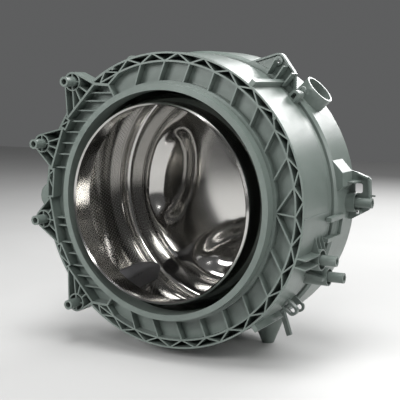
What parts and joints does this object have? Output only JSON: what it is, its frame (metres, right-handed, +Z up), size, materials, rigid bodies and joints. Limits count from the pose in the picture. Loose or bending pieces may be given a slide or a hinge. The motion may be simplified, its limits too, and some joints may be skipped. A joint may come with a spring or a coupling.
{
  "type": "washing machine tub",
  "caption": "Plastic washing machine outer tub with a ribbed front ring and brackets, and a perforated steel drum on a shaft and bearings inside it.",
  "frame": {"origin": "on the drum's axis, in the plane of the mouth's front edge, where the door gasket seats", "axes": "-Y out of the mouth towards the door, +Y along the shaft to the pulley, +Z up as hung, +X to the right seen from the door"},
  "size_m": [0.576, 0.3738, 0.522],
  "materials": {
    "tub_plastic": "moulded, faint satin",
    "drum_steel": "polished stainless",
    "lifter_plastic": "satin",
    "cast_aluminium": "as cast",
    "bearing_steel": "ground",
    "shaft_steel": "turned",
    "sleeve_brass": "ground",
    "seal_rubber": "matte"
  },
  "bodies": {
    "tub": {"front_shell": "tub_plastic", "rear_shell": "tub_plastic", "bearing_hub": "cast_aluminium", "shaft_seal": "seal_rubber", "front_bearing_outer": "bearing_steel", "rear_bearing_outer": "bearing_steel"},
    "drum": {"drum_wall": "drum_steel", "drum_front": "drum_steel", "drum_back": "drum_steel", "lifter_1": "lifter_plastic", "lifter_2": "lifter_plastic", "lifter_3": "lifter_plastic", "spider": "cast_aluminium", "spider_bolts": "bearing_steel", "drum_shaft": "shaft_steel", "seal_sleeve": "sleeve_brass", "front_bearing_inner": "bearing_steel", "rear_bearing_inner": "bearing_steel"}
  },
  "joints": [
    {"name": "drum_spin", "type": "hinge", "parent": "tub", "child": "drum", "pos_m": [0, 0.29, 0], "axis": [0, 1, 0], "continuous": true}
  ]
}
